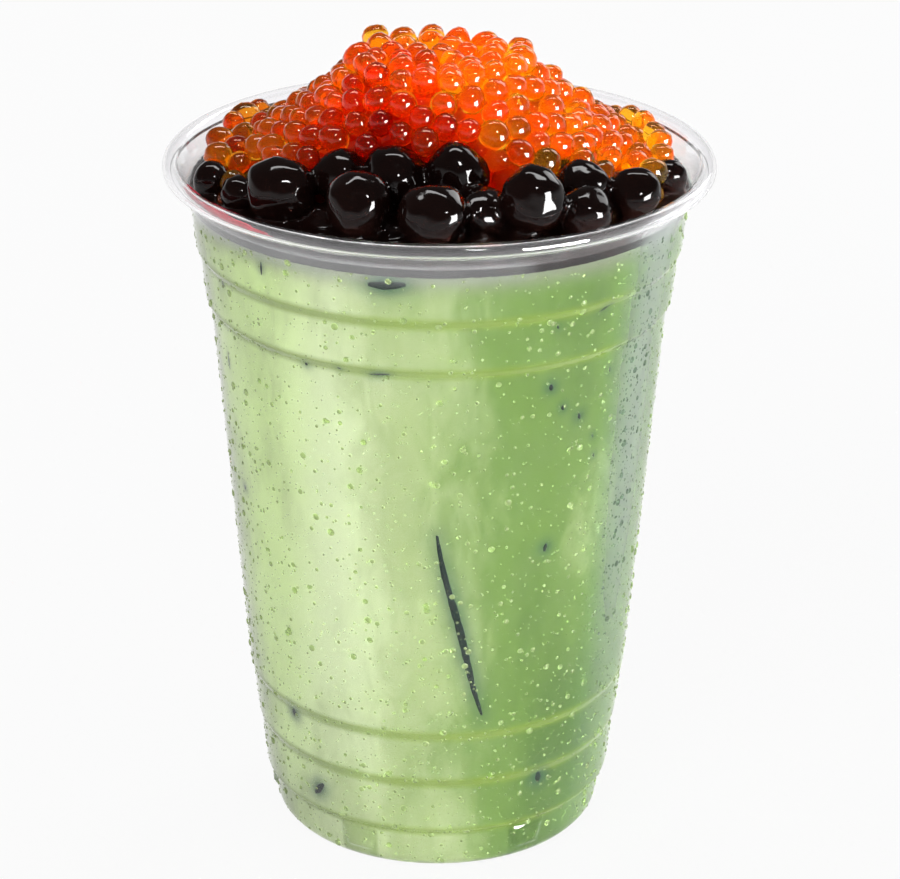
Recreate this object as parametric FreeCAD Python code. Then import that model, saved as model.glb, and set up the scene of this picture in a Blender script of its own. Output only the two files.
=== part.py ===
"""Iced green milk tea in a clear cup, heaped with black tapioca pearls and orange popping pearls.

Millimetres, Z up, origin at the middle of the foot on the table. The front of the cup looks along -Y.
"""

import FreeCAD, Part
import math
import os
import random

from FreeCAD import Vector

# ---- cup: a thin thermoformed shell with a rolled lip --------------------------------------------
lip_diameter = 98.0       # over the rolled lip
cup_height = 128.4
foot_diameter = 60.6      # outside of the skirt that stands on the table
wall = 0.5
flare_reach = 4.9         # how far the trumpet mouth and its lip stand out beyond the neck
flare_height = 8.0        # from the neck up to the top of the lip
flare_bend = 9.0          # radius of the bend at the neck
curl_diameter = 2.8       # the rolled bead of the lip
curl_turn = 265.0         # degrees that the sheet rolls round in the bead
foot_steps = [(8.2, 1.4), (19.2, 0.5), (29.4, 0.5)]   # height above the table, growth of the radius
top_steps = [(26.2, 0.9), (16.6, 0.7)]                # depth below the lip, growth of the radius
step_rise = 1.2           # height over which each step grows
step_bend = 0.6           # radius of the two bends of a step
foot_bend = 3.0           # rounded lower corner of the skirt
stand_width = 3.8         # from the skirt in to where the base starts to rise
base_rise = 4.0           # the pushed-up base clears the table by this
base_slope = 2.2          # run of the slope between the stand and the raised base
base_bend = 1.0

# ---- stacking lugs pressed out of the skirt ------------------------------------------------------
lug_count = 6
lug_phase = 32.5          # degrees from the front to the first lug
lug_top_width = 7.2
lug_bottom_width = 4.6
lug_height = 4.6
lug_gap = 0.7             # from the top of a lug to the lowest step
lug_reach = 0.9           # how far a lug stands out of the skirt
lug_draft = 0.5           # the sides lean in by this over the reach

# ---- drink ---------------------------------------------------------------------------------------
freeboard = 6.4           # from the drink's surface up to the top of the lip

# ---- black tapioca pearls ------------------------------------------------------------------------
pearl_gap = 0.08          # clearance between neighbours, and to the wall, once they have settled
pocket_gap = 0.11         # clearance round a pearl in the drink and in the heap
pearl_unevenness = 0.3    # side arcs are smaller than the pearl's radius by up to this share
float_diameter = 10.2     # pearls that float half sunk along the wall
float_depth = 2.0         # centre of a floating pearl below the surface
float_room = 0.75         # free length of the ring for each floating pearl
settle_rounds = 400
sink_step = 0.02          # a piled pearl that rests on nothing sinks in such steps
pile_give = 0.05          # the piled pearls give way this little while the ones under them settle
# Pearls piled on the floating ones, from left to right, as
# (run along the wall from the front, distance in from the wall, height over the surface, diameter).
front_row = [
    (-58.5, 3.1, 5.3, 7.6),
    (-47.7, 5.6, 4.7, 8.4),
    (-37.7, 8.6, 7.4, 11.4),
    (-16.9, 7.9, 8.0, 11.0),
    (-0.8, 6.6, 7.6, 10.8),
    (10.0, 11.6, 7.0, 8.6),
    (19.3, 6.9, 8.8, 10.6),
    (28.5, 5.1, 6.6, 8.8),
    (43.1, 4.8, 6.4, 9.0),
    (59.3, 3.1, 5.3, 7.6),
]
back_row = [
    (-28.5, 17.1, 9.0, 9.2),
    (-12.3, 18.9, 9.9, 10.8),
    (3.9, 19.5, 10.0, 10.8),
    (36.2, 10.3, 7.6, 8.8),
    (40.0, 18.5, 6.2, 8.8),
]
under_diameter = 9.6      # pearls that carry the back row, half sunk beside the floating ring
under_inset = 16.5        # in from the wall
under_spread = 49.3       # they lie this far along the wall to either side of the front
under_room = 0.6          # free length of their row for each of them
between_diameter = 8.6    # pearls that fill the hollows between the floating ring and the front row
between_inset = 11.1
between_height = 1.6      # over the surface
between_spread = 50.8
between_room = 4.0

# ---- heap of orange popping pearls ---------------------------------------------------------------
heap_height = 23.8        # top of the heap's core over the drink's surface
heap_top_radius = 14.0    # of its level top
heap_hollow = 1.27        # how much its flanks are hollowed: 1 is straight, 0.5 a dome
heap_belly_height = 4.5   # where it is widest, just over the lip
heap_belly_inset = 5.4    # from there across to the wall at the drink's surface
heap_tuck = 4.6           # it draws in by this from its belly down to the drink
heap_front_inset = 23.1   # its flat front, behind the black pearls, lies this far in from the wall
heap_front_top = 14.0     # up to this height over the surface
heap_front_lean = 4.5     # above it the front leans out by this
heap_front_rise = 6.0     # over this height
bead_diameter = 4.8       # the largest popping pearls
bead_spread = 0.5         # the smallest are smaller by this
bead_step = 1.0           # the next free place for one is looked for in steps of this
bead_sink = 0.5           # centre of a popping pearl inside the core's surface
bead_wander = 0.7         # they sit up to this higher or lower

lip_radius = lip_diameter / 2
neck_height = cup_height - flare_height
surface = cup_height - freeboard
AXIS = Vector(0, 0, 1)
ORIGIN = Vector(0, 0, 0)


def rounded_wire_edges(points, radii):
    """Straight runs through points, with each inner corner rounded by its radius."""
    edges = []
    start = points[0]
    for before, corner, after, radius in zip(points, points[1:], points[2:], radii):
        into = (corner - before).normalize()
        out = (after - corner).normalize()
        turn = into.getAngle(out)
        reach = radius * math.tan(turn / 2)
        bisector = (out - into).normalize()
        centre = corner + bisector * (radius / math.cos(turn / 2))
        arc_start = corner - into * reach
        arc_end = corner + out * reach
        arc_middle = centre - bisector * radius
        edges.append(Part.makeLine(start, arc_start))
        edges.append(Part.Arc(arc_start, arc_middle, arc_end).toShape())
        start = arc_end
    edges.append(Part.makeLine(start, points[-1]))
    return edges


def step_table():
    """Every step of the wall as (height, growth of the radius), from the foot up."""
    return foot_steps + [(cup_height - depth, growth) for depth, growth in top_steps]


def wall_taper():
    """Growth of the radius for each mm of height between the steps."""
    growth = lip_radius - flare_reach - foot_diameter / 2 - sum(out for _, out in step_table())
    return growth / neck_height


def wall_corners():
    """Corners of the drink side of the wall, from the lowest step to the neck."""
    taper = wall_taper()
    corners = []
    steps_below = 0.0
    for height, growth in step_table():
        radius = foot_diameter / 2 - wall + steps_below + taper * height
        corners.append(Vector(radius, 0, height))
        corners.append(Vector(radius + growth, 0, height + step_rise))
        steps_below += growth
    corners.append(Vector(lip_radius - flare_reach - wall, 0, neck_height))
    return corners


def inner_radius(height):
    """Radius of the drink side of the wall at a height, with the mouth taken as a straight cone."""
    corners = wall_corners() + [Vector(lip_radius - curl_diameter, 0, cup_height)]
    for low, high in zip(corners, corners[1:]):
        if height <= high.z:
            share = (height - low.z) / (high.z - low.z)
            return low.x + share * (high.x - low.x)
    return corners[-1].x


def room_to_wall(run, height):
    """Distance from a place in the cup, as its run from the axis and its height, to the wall."""
    place = Vector(run, 0, min(height, cup_height))
    nearest = math.inf
    for low, high in WALL_RUNS:
        along = high - low
        share = max(0.0, min(1.0, (place - low).dot(along) / along.dot(along)))
        nearest = min(nearest, (low + along * share - place).Length)
    return nearest


def curl_edges(neck):
    """Where the mouth's cone meets the rolled bead, and the bead as three arcs."""
    bead = curl_diameter / 2
    centre = Vector(lip_radius - bead, 0, cup_height - bead)
    to_centre = centre - neck
    lean = math.atan2(to_centre.z, to_centre.x) + math.asin(bead / to_centre.Length)

    def on_bead(share):
        angle = lean + math.pi / 2 - math.radians(share * curl_turn)
        return centre + Vector(math.cos(angle), 0, math.sin(angle)) * bead

    arcs = []
    for third in range(3):
        arc = Part.Arc(on_bead(third / 3), on_bead((third + 0.5) / 3), on_bead((third + 1) / 3))
        arcs.append(arc.toShape())
    return on_bead(0), arcs


def drink_side_edges():
    """The drink side of the whole shell, from the middle of the base to the end of the mouth's cone."""
    stand_radius = foot_diameter / 2 - stand_width
    corners = wall_corners()
    mouth, _ = curl_edges(corners[-1])
    points = [
        Vector(0, 0, base_rise + wall),
        Vector(stand_radius - base_slope, 0, base_rise + wall),
        Vector(stand_radius, 0, wall),
        Vector(foot_diameter / 2 - wall, 0, wall),
    ] + corners + [mouth]
    radii = [base_bend, base_bend, foot_bend - wall] + [step_bend] * (len(corners) - 1) + [flare_bend]
    return rounded_wire_edges(points, radii)


def shell_solid():
    """The plain shell: its sheet offset outwards by the wall and turned round the axis."""
    _, curl = curl_edges(wall_corners()[-1])
    sheet = Part.Wire(drink_side_edges() + curl)
    section = sheet.makeOffset2D(-wall, 0, True, True)
    return section.revolve(ORIGIN, AXIS, 360)


def cavity_solid(top):
    """What the plain shell holds, up to a height."""
    edges = drink_side_edges()
    mouth = edges[-1].Vertexes[-1].Point
    base = edges[0].Vertexes[0].Point
    rim = Part.makeLine(mouth, Vector(0, 0, mouth.z))
    core = Part.makeLine(Vector(0, 0, mouth.z), base)
    inside = Part.Face(Part.Wire(edges + [rim, core])).revolve(ORIGIN, AXIS, 360)
    return inside.common(Part.makeCylinder(lip_radius, top))


def lug_solid(inset, depth):
    """One lug on the +X side, its faces moved in by inset, reaching depth into the skirt."""
    skirt = foot_diameter / 2
    top = foot_steps[0][0] - lug_gap - inset
    bottom = foot_steps[0][0] - lug_gap - lug_height + inset

    def trapezoid(radius, shrink):
        half_top = lug_top_width / 2 - inset - shrink
        half_bottom = lug_bottom_width / 2 - inset - shrink
        low, high = bottom + shrink, top - shrink
        corners = [Vector(radius, -half_bottom, low), Vector(radius, half_bottom, low)]
        corners += [Vector(radius, half_top, high), Vector(radius, -half_top, high)]
        return Part.makePolygon(corners + corners[:1])

    sections = [trapezoid(skirt - depth, 0), trapezoid(skirt + lug_reach - inset, lug_draft)]
    return Part.makeLoft(sections, True, True)


def round_the_foot(solid):
    """Copies of one lug all round the skirt."""
    copies = []
    for index in range(lug_count):
        turned = solid.copy()
        turned.rotate(ORIGIN, AXIS, lug_phase - 90 + index * 360 / lug_count)
        copies.append(turned)
    return copies


def lug_sheets():
    """Outside and inside of all the lugs, one wall apart."""
    return round_the_foot(lug_solid(0, wall / 2)), round_the_foot(lug_solid(wall, 2 * wall))


class Pearl:
    """A ball-shaped topping with a place that can still move."""

    def __init__(self, degrees, distance, height, diameter, give=1.0):
        angle = math.radians(degrees)
        self.place = Vector(distance * math.sin(angle), -distance * math.cos(angle), height)
        self.radius = diameter / 2
        self.give = give

    def keep_inside_wall(self):
        """Pull the pearl in where it would reach through the wall."""
        across = Vector(self.place.x, self.place.y, 0)
        excess = self.radius + pearl_gap - room_to_wall(across.Length, self.place.z)
        if excess > 0:
            self.place -= across.normalize() * excess

    def free_gap(self, others):
        """Distance to the nearest other pearl or to the wall."""
        to_wall = room_to_wall(math.hypot(self.place.x, self.place.y), self.place.z) - self.radius
        gaps = [(other.place - self.place).Length - other.radius - self.radius for other in others]
        return min(gaps + [to_wall])

    def sink_onto(self, others):
        """Lower the pearl until it rests on another one, against the wall or in the drink."""
        while self.free_gap(others) > pearl_gap + sink_step and self.place.z > surface - float_depth:
            self.place -= AXIS * sink_step


def settle(pearls):
    """Push pearls that overlap apart, and keep them inside the wall, until they only touch."""
    for _ in range(settle_rounds):
        for index, one in enumerate(pearls):
            for other in pearls[index + 1:]:
                apart = other.place - one.place
                overlap = one.radius + other.radius + pearl_gap - apart.Length
                if overlap > 0:
                    push = apart.normalize() * (overlap / (one.give + other.give))
                    one.place -= push * one.give
                    other.place += push * other.give
        for pearl in pearls:
            pearl.keep_inside_wall()


def pearl_at(along, inset, height, diameter, give=1.0):
    """A pearl a run along the wall from the front, a distance in from the wall, over the surface."""
    azimuth = math.degrees(along / wall_at_surface)
    return Pearl(azimuth, wall_at_surface - inset, surface + height, diameter, give)


def row_of_pearls(inset, height, diameter, spread, room):
    """Pearls side by side, as far along the wall to the left of the front as to the right."""
    length = 2 * spread * (wall_at_surface - inset) / wall_at_surface
    count = int(length / (diameter + room)) + 1
    places = [spread * (2 * index / (count - 1) - 1) for index in range(count)]
    return [pearl_at(along, inset, height, diameter) for along in places]


def tapioca_pearls():
    """The floating ring and the two rows piled on its front, settled against each other."""
    distance = inner_radius(surface - float_depth) - float_diameter / 2
    count = int(2 * math.pi * distance / (float_diameter + float_room))
    pearls = [Pearl(360 * (index + 0.5) / count, distance, surface - float_depth, float_diameter)
              for index in range(count)]
    pearls += row_of_pearls(under_inset, 0, under_diameter, under_spread, under_room)
    pearls += row_of_pearls(between_inset, between_height, between_diameter, between_spread, between_room)
    piled = [pearl_at(*numbers, pile_give) for numbers in front_row + back_row]
    settle(pearls + piled)
    for pearl in piled:
        pearl.sink_onto(pearls + [other for other in piled if other is not pearl])
    return pearls + piled


def oval_cap(radius, offset, degrees):
    """Half an oval outline: a side arc and the wider arc of the cap, tangent at an angle off the axis."""
    angle = math.radians(degrees)
    side_centre = Vector(offset, 0, 0)
    side_radius = radius - offset
    cap_centre = Vector(0, 0, -offset / math.tan(angle))
    cap_radius = side_radius + offset / math.sin(angle)

    def on_side(turned):
        return side_centre + Vector(math.sin(turned), 0, math.cos(turned)) * side_radius

    def on_cap(turned):
        return cap_centre + Vector(math.sin(turned), 0, math.cos(turned)) * cap_radius

    side = Part.Arc(on_side(math.pi / 2), on_side((math.pi / 2 + angle) / 2), on_side(angle)).toShape()
    cap = Part.Arc(on_cap(angle), on_cap(angle / 2), on_cap(0)).toShape()
    return side, cap, cap_centre.z + cap_radius


def pearl_solid(pearl, rng):
    """A soft pearl: an oval, flattened more at one end than at the other, leaning its own way."""
    offset = pearl.radius * rng.uniform(0.1, 1) * pearl_unevenness
    upper_side, upper_cap, top = oval_cap(pearl.radius, offset, rng.uniform(30, 45))
    lower_side, lower_cap, bottom = oval_cap(pearl.radius, offset, rng.uniform(50, 70))
    for edge in (lower_side, lower_cap):
        edge.rotate(ORIGIN, Vector(1, 0, 0), 180)
    core = Part.makeLine(Vector(0, 0, top), Vector(0, 0, -bottom))
    section = Part.Face(Part.Wire(Part.__sortEdges__([upper_side, upper_cap, core, lower_cap, lower_side])))
    solid = section.revolve(ORIGIN, AXIS, 360)
    lean = FreeCAD.Rotation(rng.uniform(0, 360), rng.uniform(-90, 90), rng.uniform(0, 360))
    solid.Placement = FreeCAD.Placement(pearl.place, lean)
    return solid


def largest(shape):
    """The main solid of a shape, without slivers that the pearls pinch off between them."""
    return max(shape.Solids, key=lambda solid: solid.Volume)


def pockets(pearls):
    """Round hollows that take the pearls."""
    return [Part.makeSphere(pearl.radius + pocket_gap, pearl.place) for pearl in pearls]


def heap_outline():
    """The core's side from the drink up, as (height over the surface, radius): a poured pile's."""
    belly = wall_at_surface - heap_belly_inset
    outline = [(0.0, belly - heap_tuck), (heap_belly_height * 0.65, belly - heap_tuck * 0.2)]
    runs = 7
    for index in range(runs + 1):
        share = 1 - index / runs
        height = heap_belly_height + (heap_height - heap_belly_height) * (1 - share ** (1 / heap_hollow))
        outline.append((height, heap_top_radius + (belly - heap_top_radius) * share))
    return outline + [(heap_height, 0.0)]


def front_outline():
    """The core's front from the drink up, as (height over the surface, distance from the axis)."""
    front = wall_at_surface - heap_front_inset
    leaning = (heap_front_top + heap_front_rise, front + heap_front_lean)
    return [(0.0, front), (heap_front_top, front), leaning]


def heap_core():
    """The heap's body, turned from its outline, with a flat front that leaves room for the black pearls."""
    side = [Vector(radius, 0, surface + height) for height, radius in heap_outline()]
    rim = [Vector(0, 0, side[0].z)] + side
    body = Part.Face(Part.makePolygon(rim + rim[:1])).revolve(ORIGIN, AXIS, 360)
    front = [Vector(-lip_diameter, -run, surface + height) for height, run in front_outline()]
    ahead = [Vector(-lip_diameter, -lip_diameter, end.z) for end in (front[-1], front[0])]
    removed = Part.Face(Part.makePolygon(front + ahead + front[:1]))
    return body.cut(removed.extrude(Vector(2 * lip_diameter, 0, 0)))


def rows_along(outline):
    """Points one step apart along a profile, as (run, height, normal's run, normal's height)."""
    rows = []
    since_last = 0.0
    fine = 40
    for (low_height, low_run), (high_height, high_run) in zip(outline, outline[1:]):
        rise = high_height - low_height
        growth = high_run - low_run
        slant = math.hypot(rise, growth)
        for index in range(fine):
            since_last += slant / fine
            if since_last >= bead_step:
                share = index / fine
                run, height = low_run + share * growth, low_height + share * rise
                rows.append((run, height, rise / slant, -growth / slant))
                since_last = 0.0
    return rows


def round_places(rng):
    """Places round the heap, from its foot up, with their outward directions. Each row starts anywhere."""
    places = []
    for run, height, out, up in rows_along(heap_outline()):
        count = max(1, int(2 * math.pi * run / bead_step))
        start = rng.uniform(0, 2 * math.pi)
        for index in range(count):
            angle = start + 2 * math.pi * index / count
            place = Vector(run * math.sin(angle), -run * math.cos(angle), surface + height)
            places.append((place, Vector(out * math.sin(angle), -out * math.cos(angle), up)))
    return places


def front_places():
    """Places on the heap's front, from its foot up, with their outward directions."""
    places = []
    columns = int(lip_radius / bead_step)
    for run, height, out, up in rows_along(front_outline()):
        for column in range(-columns, columns + 1):
            places.append((Vector(bead_step * column, -run, surface + height), Vector(0, -out, up)))
    return places


def beads(core, pearls, rng):
    """The popping pearls of the heap's skin, rooted in its core, clear of each other and of the rest."""
    kept = []
    for place, outwards in front_places() + round_places(rng):
        radius = (bead_diameter - rng.uniform(0, bead_spread)) / 2
        centre = place + outwards * (rng.uniform(-bead_wander, bead_wander) - bead_sink)
        others = [(other, size + pearl_gap) for other, size, _ in kept]
        others += [(pearl.place, pearl.radius + 2 * pocket_gap) for pearl in pearls]
        clear = centre.z > surface + radius
        clear = clear and all((other - centre).Length > room + radius for other, room in others)
        clear = clear and room_to_wall(math.hypot(centre.x, centre.y), centre.z) > radius + pearl_gap
        if clear and core.isInside(place - outwards * bead_sink, 0.01, False):
            kept.append((centre, radius, outwards))
    return [Part.makeSphere(radius, centre, outwards) for centre, radius, outwards in kept]


def heap_solid(pearls, rng):
    """The heap out to its uneven outline of popping pearls, with hollows for the black ones."""
    core = largest(heap_core().cut(pockets(pearls)))
    skin = beads(core, pearls, rng)
    print(len(skin), "popping pearls on the heap")
    return largest(core.fuse(skin))


def export(node, shape):
    """Write one sub-part."""
    shape.exportStep(os.path.join("parts", node + ".step"))
    print(node, len(shape.Solids), "solid", round(shape.Volume / 1000, 2), "ml")


def main():
    os.makedirs("parts", exist_ok=True)
    rng = random.Random(7)
    lug_outsides, lug_insides = lug_sheets()
    held = cavity_solid(surface)
    export("cup", shell_solid().fuse([lug.cut(held) for lug in lug_outsides]).cut(lug_insides))

    pearls = tapioca_pearls()
    export("milk_tea", largest(held.fuse(lug_insides).cut(pockets(pearls))))
    for index, pearl in enumerate(pearls):
        export("tapioca_pearl_%02d" % (index + 1), pearl_solid(pearl, rng))
    export("popping_pearls", heap_solid(pearls, rng))


WALL_POINTS = wall_corners() + [Vector(lip_radius - curl_diameter, 0, cup_height)]
WALL_RUNS = list(zip(WALL_POINTS, WALL_POINTS[1:]))
wall_at_surface = inner_radius(surface)
main()
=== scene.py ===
# %% [markdown]
# # Iced green milk tea with black tapioca and orange popping pearls
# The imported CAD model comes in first. It is the frame: every piece below is made in the same metres
# and in the same place, so nothing has to be fitted later. The CAD solids are plain stand-ins for food
# and drink, so each of them is replaced by a piece with the real thing's surface.

import math

import bmesh
import bpy
import numpy as np
from mathutils import Matrix, Vector, noise


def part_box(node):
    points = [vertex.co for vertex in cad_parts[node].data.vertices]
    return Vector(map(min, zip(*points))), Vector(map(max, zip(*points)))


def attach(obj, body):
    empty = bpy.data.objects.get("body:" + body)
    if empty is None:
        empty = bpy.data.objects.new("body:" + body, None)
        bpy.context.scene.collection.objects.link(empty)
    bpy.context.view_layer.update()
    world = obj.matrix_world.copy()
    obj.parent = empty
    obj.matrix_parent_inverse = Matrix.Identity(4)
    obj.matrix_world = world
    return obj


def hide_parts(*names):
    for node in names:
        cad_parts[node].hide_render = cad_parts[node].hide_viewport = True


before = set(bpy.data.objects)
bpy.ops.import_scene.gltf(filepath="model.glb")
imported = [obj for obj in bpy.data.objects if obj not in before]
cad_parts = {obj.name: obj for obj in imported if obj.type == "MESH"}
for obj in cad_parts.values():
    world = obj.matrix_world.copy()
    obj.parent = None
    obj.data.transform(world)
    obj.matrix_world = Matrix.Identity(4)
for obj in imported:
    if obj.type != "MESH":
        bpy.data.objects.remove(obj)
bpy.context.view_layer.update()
MM = 0.001
body = "root"

# %% [markdown]
# ## Helpers
# Objects, meshes and node trees are made in the same few ways all through, so short functions do it. A
# node tree reads well when each node is made together with what feeds it, so `node` takes its inputs too:
# each is a value, or the socket of another node.


# %% Object and mesh helpers
def around(reach, turn, height):
    """A place at a reach from the Z axis, turned from the front towards the right."""
    return reach * math.sin(turn), -reach * math.cos(turn), height


def shown(name, data):
    """A new object that is in the scene."""
    made = bpy.data.objects.new(name, data)
    bpy.context.scene.collection.objects.link(made)
    return made


def smooth_mesh(name, points, faces):
    """A new mesh with smooth shading."""
    mesh = bpy.data.meshes.new(name)
    mesh.from_pydata(points, [], faces)
    mesh.shade_smooth()
    return mesh


def coordinates(mesh):
    """The vertices of a mesh as an array with a row for each."""
    places = np.empty(len(mesh.vertices) * 3)
    mesh.vertices.foreach_get("co", places)
    return places.reshape(-1, 3)


def store(mesh, name, values):
    """Store a number under a name at each vertex, for a material or a node tree to read."""
    mesh.attributes.new(name, "FLOAT", "POINT").data.foreach_set("value", values.astype(np.float32))


def volume_ml(mesh):
    """Volume inside a closed mesh, which is positive if its faces point outwards."""
    mesh.calc_loop_triangles()
    corners_of = np.empty(len(mesh.loop_triangles) * 3, dtype=np.int32)
    mesh.loop_triangles.foreach_get("vertices", corners_of)
    a, b, c = np.moveaxis(coordinates(mesh)[corners_of.reshape(-1, 3)], 1, 0)
    return float(np.einsum("ij,ij->i", a, np.cross(b, c)).sum() / 6 * 1e6)


def evaluated_mesh(piece):
    """Keep what a piece's modifiers make of it as a plain mesh."""
    evaluated = piece.evaluated_get(bpy.context.evaluated_depsgraph_get())
    mesh = bpy.data.meshes.new_from_object(evaluated)
    piece.modifiers.clear()
    piece.data = mesh
    mesh.name = piece.name
    return mesh


def finish_piece(piece, slot, *nodes, material=None):
    """Join a finished piece to the frame: its material and body, and hide the CAD nodes it stands for. The
    slot is not used.
    """
    if material:
        piece.data.materials.append(material)
    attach(piece, body)
    if nodes:
        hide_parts(*nodes)
    print(piece.name, len(piece.data.polygons), "faces")


# %% Node helpers
def wire(tree, made, inputs):
    """Give a node's inputs their values, or join them to the sockets that feed them."""
    for name, value in inputs.items():
        socket = made.inputs[name]
        if isinstance(value, bpy.types.NodeSocket):
            tree.links.new(value, socket)
        else:
            socket.default_value = (*value, 1) if socket.type == "RGBA" else value


def node(tree, kind, inputs=(), **settings):
    """A new node with its settings and its inputs."""
    made = tree.nodes.new(kind)
    for name, value in settings.items():
        setattr(made, name, value)
    wire(tree, made, dict(inputs))
    return made


def number(tree, operation, first, *others, clamp=False):
    """A Math operation on one value or socket, or over more of them one after another."""
    if not others:
        return node(tree, "ShaderNodeMath", {0: first}, operation=operation).outputs[0]
    for other in others:
        settings = {"operation": operation, "use_clamp": clamp}
        first = node(tree, "ShaderNodeMath", {0: first, 1: other}, **settings).outputs[0]
    return first


def between(tree, value, low, high, to_low=0.0, to_high=1.0):
    """A value mapped smoothly from one range to another."""
    ranges = {"Value": value, "From Min": low, "From Max": high, "To Min": to_low, "To Max": to_high}
    return node(tree, "ShaderNodeMapRange", ranges, interpolation_type="SMOOTHSTEP").outputs["Result"]


def either(tree, share, first, second):
    """Two shaders mixed by a share."""
    shaders = {0: share, 1: first.outputs[0], 2: second.outputs[0]}
    return node(tree, "ShaderNodeMixShader", shaders).outputs[0]


def seen_directly(tree):
    """1 for rays from the camera and for those that a glossy or clear surface sends on, otherwise 0.

    A ray that has left a dull surface counts as light on that surface, also when it passes the clear cup.
    """
    path = node(tree, "ShaderNodeLightPath").outputs
    seen = number(tree, "MAXIMUM", path["Is Camera Ray"], path["Is Glossy Ray"], path["Is Transmission Ray"])
    return number(tree, "SUBTRACT", seen, path["Diffuse Depth"], clamp=True)


# %% [markdown]
# ## Camera
# A product shot of a drink is taken with a long lens from a little above, so that the toppings show and
# the cup hardly narrows towards its foot. A long lens needs distance: here it is about half a metre.

# %% Camera
camera_distance = 550.9 * MM
camera_height = 311.8 * MM
camera_tilt = math.radians(23.43)
camera_turn = math.radians(-0.224)
camera_roll = math.radians(0.359)

camera = shown("camera", bpy.data.cameras.new("camera"))
camera.location = (0, -camera_distance, camera_height)
camera.rotation_euler = (
    Matrix.Rotation(camera_turn, 3, "Z")
    @ Matrix.Rotation(math.radians(90) - camera_tilt, 3, "X")
    @ Matrix.Rotation(camera_roll, 3, "Z")
).to_euler()
camera.data.sensor_width = 36
camera.data.lens = 130.76
camera.data.clip_start = 0.01
bpy.context.scene.camera = camera
bpy.context.scene.view_settings.view_transform = "Standard"
print("camera at", [round(value, 3) for value in camera.location])

# %% [markdown]
# ## Light
# Soft boxes give wet food its long clean highlights, and a plain bright room fills the shadows. The room
# is made by the world: it is white for the camera, and for rays that a glossy or clear surface sends on,
# and dimmer for the light that falls on things, so that a colour renders about as it is written. Its
# ceiling is dark in reflections, because black wet pearls look black only if they have dark to mirror.
# Two large soft boxes only light, one from the front left and one from behind, and the cards and the
# strip only sparkle, so each can be set by itself.

# %% World
room_fill = 0.48
room_colour = (0.95, 0.97, 1.0)
white = (0.988, 0.988, 0.988)
ceiling_share = 0.10
ceiling_from, ceiling_to = 0.02, 0.28

world = bpy.data.worlds.new("studio")
bpy.context.scene.world = world
world.use_nodes = True
sky = world.node_tree
sky.nodes.clear()
towards = node(sky, "ShaderNodeTexCoord").outputs["Generated"]
up = node(sky, "ShaderNodeSeparateXYZ", {0: towards}).outputs["Z"]
ceiling = between(sky, up, ceiling_from, ceiling_to, 0.0, 1 - ceiling_share)
path = node(sky, "ShaderNodeLightPath").outputs
mirrored = number(sky, "SUBTRACT", path["Is Glossy Ray"], path["Is Transmission Ray"], clamp=True)
dimmed = number(sky, "SUBTRACT", 1.0, number(sky, "MULTIPLY", ceiling, mirrored))
plain = node(sky, "ShaderNodeBackground", {"Color": room_colour, "Strength": room_fill})
backdrop = node(sky, "ShaderNodeBackground", {"Color": white, "Strength": dimmed})
node(sky, "ShaderNodeOutputWorld", {"Surface": either(sky, seen_directly(sky), plain, backdrop)})

# %% Lamps
# Each lamp: its name, degrees round from the front, degrees up, distance, width and height in metres,
# watts, and the kinds of rays that it is hidden from.
lamps = [
    ("left softbox", -30, 32, 0.95, 0.45, 0.60, 3.1, "glossy"),
    ("sparkle card", 46, 6, 0.70, 0.34, 0.40, 27.0, "diffuse"),
    ("overhead strip", 180, 72, 0.80, 0.60, 0.12, 3.0, "diffuse"),
    ("small high card", 18, 50, 0.80, 0.09, 0.09, 2.2, "diffuse"),
    ("rim softbox", 140, 30, 0.80, 0.30, 0.40, 1.6),
    ("back softbox", 205, 32, 0.95, 0.45, 0.60, 1.5, "glossy"),
]
cup_middle = Vector((0, 0, 0.09))


def soft_box(name, azimuth, elevation, distance, width, height, power, *hidden_from):
    """A rectangular lamp that looks at the middle of the cup.

    Its light passes the clear cup as shadow rays, so bent rays don't count it a second time.
    """
    lamp = bpy.data.lights.new(name, "AREA")
    lamp.shape = "RECTANGLE"
    lamp.size = width
    lamp.size_y = height
    lamp.energy = power
    box = shown(name, lamp)
    rise = math.radians(elevation)
    away = Vector(around(math.cos(rise), math.radians(azimuth), math.sin(rise)))
    box.location = cup_middle + away * distance
    box.rotation_euler = away.to_track_quat("Z", "Y").to_euler()
    for kind in ("transmission", *hidden_from):
        setattr(box, "visible_" + kind, False)


for lamp_numbers in lamps:
    soft_box(*lamp_numbers)
print(len(lamps), "lamps")

# %% [markdown]
# ## Floor
# The cup stands on a pale sweep of paper. It takes the cup's soft shadow, and what the camera sees of it
# is lifted towards white, as an evenly lit sweep would be.

# %% Floor
sweep_half = 3.0
paper_colour = (0.8, 0.8, 0.8)
glow_share = 0.93

sweep_corners = [(x * sweep_half, y * sweep_half, 0) for x, y in ((-1, -1), (1, -1), (1, 1), (-1, 1))]
floor = shown("floor", smooth_mesh("floor", sweep_corners, [(0, 1, 2, 3)]))
paper = bpy.data.materials.new("white paper")
paper.use_nodes = True
sheet = paper.node_tree
sheet.nodes.clear()
lit = node(sheet, "ShaderNodeBsdfDiffuse", {"Color": paper_colour})
glow = node(sheet, "ShaderNodeEmission", {"Color": white})
lifted = number(sheet, "MULTIPLY", seen_directly(sheet), glow_share)
node(sheet, "ShaderNodeOutputMaterial", {"Surface": either(sheet, lifted, lit, glow)})
floor.data.materials.append(paper)
print("floor", 2 * sweep_half, "m wide")

# %% [markdown]
# ## The cup's outline
# A cold-drink cup is drawn from one thin warm sheet, so its inner and outer sides are the same outline, one
# wall apart: a pushed-up base, a short skirt, three small steps near the foot, two near the top, a trumpet
# mouth and a rolled lip. It is drawn once here as a path of (radius, height) and used for the cup, the
# drink and the dew.

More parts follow.
